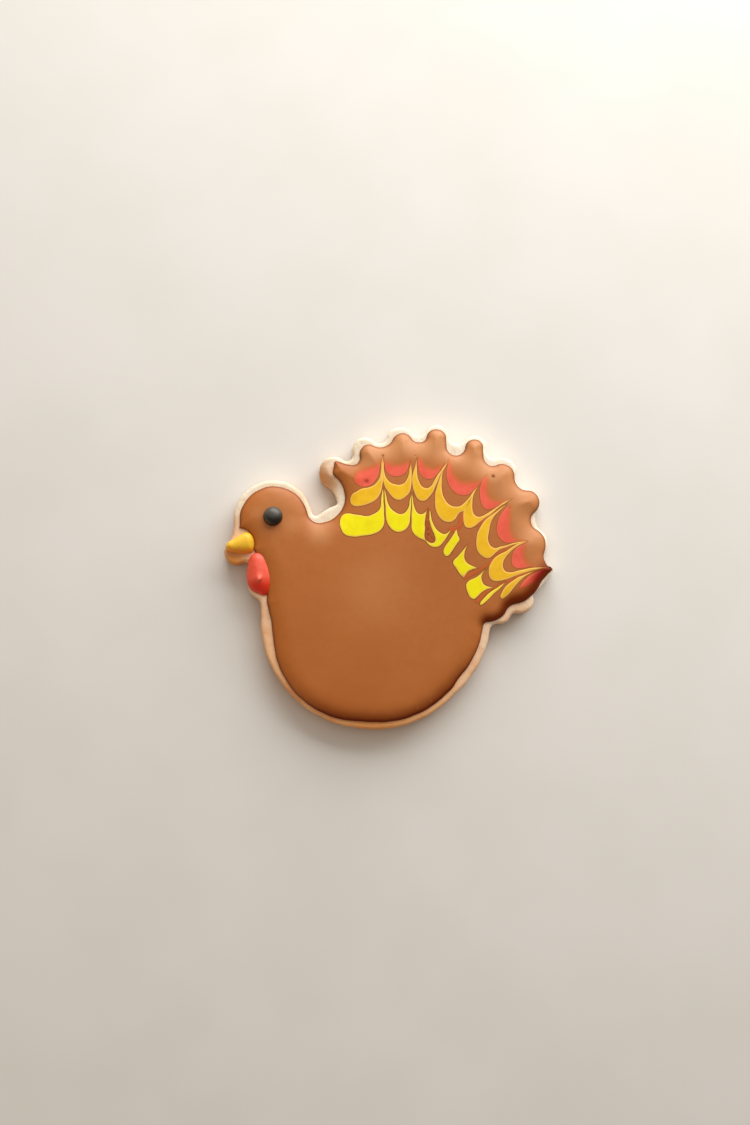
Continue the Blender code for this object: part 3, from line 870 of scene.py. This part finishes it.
class Finish:
    """A Principled material with the few nodes that each of these finishes is made from."""

    def __init__(self, name, roughness, specular=0.5):
        self.material = bpy.data.materials.new(name)
        self.material.use_nodes = True
        self.nodes = self.material.node_tree.nodes
        self.links = self.material.node_tree.links
        self.shader = self.nodes["Principled BSDF"]
        self.shader.inputs["Roughness"].default_value = roughness
        self.shader.inputs["Specular IOR Level"].default_value = specular
        self.place = self.nodes.new("ShaderNodeTexCoord").outputs["Object"]

    def noise(self, size, detail=3.0, spread=0.55):
        """Noise from 0 to 1 with features about this many millimetres across."""
        node = self.nodes.new("ShaderNodeTexNoise")
        node.inputs["Scale"].default_value = 1 / (size * MM)
        node.inputs["Detail"].default_value = detail
        node.inputs["Roughness"].default_value = spread
        self.links.new(self.place, node.inputs["Vector"])
        return node.outputs["Fac"]

    def remap(self, value, low, high, to_low, to_high):
        node = self.nodes.new("ShaderNodeMapRange")
        node.interpolation_type = "SMOOTHSTEP"
        for name, number in (("From Min", low), ("From Max", high), ("To Min", to_low), ("To Max", to_high)):
            node.inputs[name].default_value = number
        self.links.new(value, node.inputs["Value"])
        return node.outputs["Result"]

    def mix(self, share, first, second, blend="MIX"):
        node = self.nodes.new("ShaderNodeMix")
        node.data_type = "RGBA"
        node.blend_type = blend
        for socket, value in ((node.inputs[0], share), (node.inputs[6], first), (node.inputs[7], second)):
            if isinstance(value, bpy.types.NodeSocket):
                self.links.new(value, socket)
            else:
                socket.default_value = value
        return node.outputs[2]

    def times(self, first, second):
        node = self.nodes.new("ShaderNodeMath")
        node.operation = "MULTIPLY"
        self.links.new(first, node.inputs[0])
        self.links.new(second, node.inputs[1])
        return node.outputs[0]

    def attribute(self, name):
        node = self.nodes.new("ShaderNodeAttribute")
        node.attribute_name = name
        return node.outputs["Fac"]

    def bump(self, height, depth, strength):
        """Adds relief this many millimetres deep, on top of what is already there."""
        node = self.nodes.new("ShaderNodeBump")
        node.inputs["Strength"].default_value = strength
        node.inputs["Distance"].default_value = depth * MM
        self.links.new(height, node.inputs["Height"])
        if self.shader.inputs["Normal"].is_linked:
            self.links.new(self.shader.inputs["Normal"].links[0].from_socket, node.inputs["Normal"])
        self.links.new(node.outputs["Normal"], self.shader.inputs["Normal"])

    def colour(self, value):
        self.links.new(value, self.shader.inputs["Base Color"])

    def dull(self, share, specular):
        """Takes most of the shine away where the share is high."""
        self.links.new(self.remap(share, 0.0, 1.0, specular, 0.12), self.shader.inputs["Specular IOR Level"])

    def vary_roughness(self, value):
        self.links.new(value, self.shader.inputs["Roughness"])


# BROWN_DARK and BROWN_LIGHT are both the mottling's tones and the ends of the painted light from the breast to the
# tail.
BROWN_DARK = linear(174, 94, 26)
BROWN_LIGHT = linear(190, 112, 46)
# BROWN_PALE: a paler tone, partly painted sheen.
BROWN_PALE = linear(208, 142, 88)
# BROWN_DEEP: the painted shade's colour, also the dark red that ran in under the tail.
BROWN_DEEP = linear(108, 34, 2)
# BROWN_LINE: the dark line round the bands, partly bled colour and partly painted shade.
BROWN_LINE = linear(112, 48, 16)


def brown_of(finish):
    """The flood's mottled brown with its painted light and sheen, which the feathers' soft edges run out into."""
    place = finish.nodes.new("ShaderNodeSeparateXYZ")
    finish.links.new(finish.place, place.inputs["Vector"])
    # Painted light: the brown is painted lighter towards the top of the tail, where the window's light falls and
    # shines, and darker towards the breast.
    upwards = finish.remap(place.outputs["Y"], -45 * MM, 30 * MM, 0.0, 0.7)
    colour = finish.mix(upwards, BROWN_DARK, BROWN_LIGHT)
    broad = finish.remap(finish.noise(20, 3.0), 0.3, 0.7, 0.0, 0.35)
    colour = finish.mix(broad, colour, BROWN_LIGHT)
    fine = finish.remap(finish.noise(1.6, 4.0), 0.35, 0.7, 0.0, 0.3)
    colour = finish.mix(fine, colour, BROWN_DARK)
    # The pale share: paler tone and painted sheen.
    pale = finish.remap(finish.attribute("pale"), 0.0, 1.0, 0.0, 0.85)
    return finish.mix(pale, colour, BROWN_PALE)


def icing_relief(finish, roughness):
    finish.bump(finish.noise(0.35, 3.0), 0.02, 0.5)
    finish.bump(finish.noise(3.0, 2.0), 0.05, 0.5)
    finish.vary_roughness(finish.remap(finish.noise(1.4), 0.3, 0.7, roughness - 0.06, roughness + 0.08))


def brown_icing():
    finish = Finish("brown_icing", 0.5)
    # Painted shade deepens the brown at the edges, in the pits and under the tail.
    shade_and_red_run = finish.attribute("shade_and_red_run")
    finish.colour(finish.mix(shade_and_red_run, brown_of(finish), BROWN_DEEP))
    finish.dull(shade_and_red_run, 0.5)
    icing_relief(finish, 0.48)
    return finish.material


def feather_icing(name, colour, other, pale, tip, dark, line, mottle_size=2.5, broken=0.0):
    """A feather's colour, slightly uneven, with a paler rim and a thin dark line round it, partly bled colour and
    partly painted shade.

    Where its strength falls it turns to the tip colour, and then runs out into the flood's brown. Where painted
    shade and the red run darken the flood, the feather turns to its dark colour too.
    """
    finish = Finish(name, 0.48, 0.22)
    strength = finish.attribute("strength")
    if broken:
        strength = finish.times(strength, finish.remap(finish.noise(mottle_size, 4.0), 0.4, 0.56, 1 - broken, 1.0))
    rim = finish.attribute("rim")
    shade_and_red_run = finish.attribute("shade_and_red_run")
    mottle = finish.remap(finish.noise(mottle_size, 3.0), 0.35, 0.65, 0.0, 1.0)
    pure = finish.mix(mottle, colour, other)
    pure = finish.mix(finish.remap(rim, 0.12, 0.6, 0.8, 0.0), pure, pale)
    pure = finish.mix(finish.remap(strength, 0.7, 1.0, 0.8, 0.0), pure, tip)
    pure = finish.mix(shade_and_red_run, pure, dark)
    brown = finish.mix(shade_and_red_run, brown_of(finish), BROWN_DEEP)
    # The dark line outside the rim: partly colour bled from the band, partly painted shade.
    outside = finish.times(finish.remap(rim, -0.3, -0.14, 0.0, line), finish.remap(rim, 0.0, 0.1, 1.0, 0.0))
    outside = finish.times(outside, finish.remap(finish.noise(2.2, 2.0), 0.35, 0.65, 0.45, 1.0))
    brown = finish.mix(finish.times(outside, strength), brown, BROWN_LINE)
    finish.colour(finish.mix(finish.times(finish.remap(rim, -0.05, 0.06, 0.0, 1.0), strength), brown, pure))
    finish.dull(shade_and_red_run, 0.22)
    icing_relief(finish, 0.48)
    return finish.material


def drop_icing(name, colour, other, low, roughness, specular=0.5):
    """A piped drop's colour, deeper on its lower, southern side, away from the window: painted shade."""
    finish = Finish(name, roughness, specular)
    mottle = finish.remap(finish.noise(2.0, 3.0), 0.3, 0.7, 0.0, 1.0)
    pure = finish.mix(mottle, colour, other)
    finish.colour(finish.mix(finish.attribute("low"), pure, low))
    icing_relief(finish, roughness)
    return finish.material


def baked_dough():
    finish = Finish("baked_dough", 0.88, 0.25)
    place = finish.nodes.new("ShaderNodeSeparateXYZ")
    finish.links.new(finish.place, place.inputs["Vector"])
    # Painted light: the dough is painted creamy towards the north and east, where the window lights it, and golden
    # towards the south, partly browner baking and partly painted shade and warm reflected light.
    across = finish.nodes.new("ShaderNodeVectorMath")
    across.operation = "DOT_PRODUCT"
    across.inputs[1].default_value = (0.25, 1, 0)
    finish.links.new(finish.place, across.inputs[0])
    upwards = finish.remap(across.outputs["Value"], -44 * MM, 18 * MM, 0.0, 1.0)
    broad = finish.remap(finish.noise(6.0, 4.0), 0.35, 0.7, 0.0, 1.0)
    baked_and_shaded = finish.mix(broad, linear(242, 186, 134), linear(230, 160, 106))
    creamy_and_lit = finish.mix(broad, linear(252, 240, 220), linear(244, 226, 198))
    colour = finish.mix(upwards, baked_and_shaded, creamy_and_lit)
    # Painted warm reflected light and shade: golden patches along the dough's edge.
    colour = finish.mix(finish.attribute("golden"), colour, linear(226, 146, 62))
    specks = finish.remap(finish.noise(0.5, 4.0, 0.7), 0.56, 0.72, 0.0, 0.5)
    colour = finish.mix(specks, colour, linear(200, 152, 98))
    low = finish.remap(place.outputs["Z"], 0.0, 3.4 * MM, 0.85, 0.0)
    colour = finish.mix(low, colour, linear(180, 124, 66))
    finish.colour(colour)
    finish.bump(finish.noise(0.45, 5.0, 0.65), 0.2, 0.7)
    finish.bump(finish.noise(1.6, 4.0), 0.15, 0.6)
    return finish.material


# ---------------------------------------------------------------------------------------------------------
# Camera, lights and floor

VIEW_DISTANCE = 430.0
VIEW_TILT = 3.5
FRAME_HEIGHT = 330.9  # what the upright frame takes in, at the height of the biscuit's top
SENSOR = 36.0
COOKIE_FROM_CENTRE = (4.07, -4.01)


def make_camera():
    tilt = math.radians(VIEW_TILT)
    data = bpy.data.cameras.new("camera")
    data.sensor_width = SENSOR  # along the frame's longer side, its height
    data.lens = SENSOR * VIEW_DISTANCE / FRAME_HEIGHT
    data.clip_start = 0.01
    camera = bpy.data.objects.new("camera", data)
    forward = Vector((0, math.sin(tilt), -math.cos(tilt)))
    up = Vector((0, math.cos(tilt), math.sin(tilt)))
    right, above = COOKIE_FROM_CENTRE
    target = Vector((0, 0, biscuit_top))
    camera.location = (target - forward * VIEW_DISTANCE - Vector((right, 0, 0)) - up * above) * MM
    camera.rotation_euler = (tilt, 0, 0)
    bpy.context.scene.collection.objects.link(camera)
    bpy.context.scene.camera = camera


def make_light(name, place, size, power, colour):
    data = bpy.data.lights.new(name, "AREA")
    data.shape = "RECTANGLE"
    data.size, data.size_y = size
    data.energy = power
    data.color = colour
    light = bpy.data.objects.new(name, data)
    light.location = place
    light.rotation_euler = (-Vector(place)).to_track_quat("-Z", "Y").to_euler()
    bpy.context.scene.collection.objects.link(light)


def make_room():
    world = bpy.data.worlds.new("room")
    world.use_nodes = True
    world.node_tree.nodes["Background"].inputs["Color"].default_value = (1.0, 0.86, 0.7, 1.0)
    world.node_tree.nodes["Background"].inputs["Strength"].default_value = 0.24
    bpy.context.scene.world = world
    make_light("window", (0.2, 0.56, 0.3), (0.9, 0.5), 7.2, (1.0, 0.985, 0.96))
    make_light("ceiling", (0.1, 0.3, 0.8), (0.8, 0.8), 1.6, (1.0, 0.96, 0.9))
    make_light("warm_fill", (-0.5, -0.42, 0.1), (0.8, 0.2), 0.7, (1.0, 0.62, 0.3))
    bpy.context.scene.view_settings.view_transform = "Standard"


def make_floor():
    size = 3.0
    mesh = bpy.data.meshes.new("floor")
    corners = [(-size, -size, 0), (size, -size, 0), (size, size, 0), (-size, size, 0)]
    mesh.from_pydata(corners, [], [(0, 1, 2, 3)])
    finish = Finish("pale_floor", 0.6, 0.3)
    soft = finish.remap(finish.noise(40, 2.0), 0.3, 0.7, 0.0, 1.0)
    finish.colour(finish.mix(soft, linear(226, 224, 220), linear(230, 228, 225)))
    mesh.materials.append(finish.material)
    floor = bpy.data.objects.new("floor", mesh)
    floor.location.z = -0.05 * MM
    bpy.context.scene.collection.objects.link(floor)


# ---------------------------------------------------------------------------------------------------------

biscuit_arcs = arcs_of(BISCUIT_LOBES)
icing_arcs = arcs_of(ICING_LOBES)
tail_tip = [lobe[0] for lobe in ICING_LOBES].index("tail tip")
under_tail_arcs = icing_arcs[2 * tail_tip - 4:2 * tail_tip]
biscuit_low, biscuit_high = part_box("biscuit")
plan_edge = outline(biscuit_arcs, 1.3)
plan_middle = (plan_edge.min(axis=0) + plan_edge.max(axis=0)) / 2
middle = plan_middle - np.array((biscuit_low.x + biscuit_high.x, biscuit_low.y + biscuit_high.y)) / 2 / MM
biscuit_top = biscuit_high.z / MM
icing_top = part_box("icing")[1].z / MM - 0.15

make_camera()
make_room()
make_floor()
make_biscuit(baked_dough())
make_icing(brown_icing())
make_feathers(
    "feathers_gold", GOLD_BANDS,
    feather_icing(
        "gold_bands", linear(248, 196, 34), linear(240, 186, 28), linear(248, 200, 108), linear(238, 146, 82),
        linear(150, 84, 16), line=0.65,
    ),
    "gold_icing", 0.075, GOLD_TIP_FADE,
)
make_feathers(
    "feathers_yellow", YELLOW_BANDS,
    feather_icing(
        "yellow_bands", linear(250, 240, 2), linear(244, 230, 2), linear(250, 216, 92), linear(242, 196, 104),
        linear(150, 108, 14), line=0.95,
    ),
    "yellow_icing", 0.065, YELLOW_TIP_FADE,
)
make_feathers(
    "feathers_red", RED_BANDS,
    feather_icing(
        "red_bands", linear(242, 104, 82), linear(234, 94, 70), linear(240, 112, 90), linear(226, 104, 74),
        linear(130, 12, 8), line=0.35,
    ),
    "red_icing", 0.05, RED_TIP_FADE, soft_side=2.4,
)
streaks = feather_icing(
    "red_streaks", linear(220, 86, 36), linear(180, 70, 34), linear(218, 116, 66), linear(206, 92, 44),
    linear(130, 42, 16), line=0.5, mottle_size=1.1, broken=0.5,
)
make_feathers("feathers_streaks", STREAKS[1:], streaks, "red_icing", 0.03, STREAK_TIP_FADE, most=0.85)
dark_streak = feather_icing(
    "dark_streak", linear(158, 60, 28), linear(124, 42, 16), linear(186, 92, 48), linear(160, 70, 34),
    linear(110, 36, 12), line=0.9, mottle_size=0.9, broken=0.75,
)
make_feathers("feathers_dark_streak", STREAKS[:1], dark_streak, "red_icing", 0.03, STREAK_TIP_FADE, most=0.85)
# The last colour of each drop is its painted shade; the eye's grey is partly painted sheen.
make_eye(drop_icing("black_icing", linear(84, 82, 75), linear(72, 70, 63), linear(14, 8, 5), 0.44, specular=0.6))
make_beak(drop_icing("beak_icing", linear(250, 200, 50), linear(246, 190, 42), linear(240, 142, 12), 0.45))
make_wattle(drop_icing("wattle_icing", linear(246, 100, 76), linear(238, 88, 64), linear(224, 44, 12), 0.38))
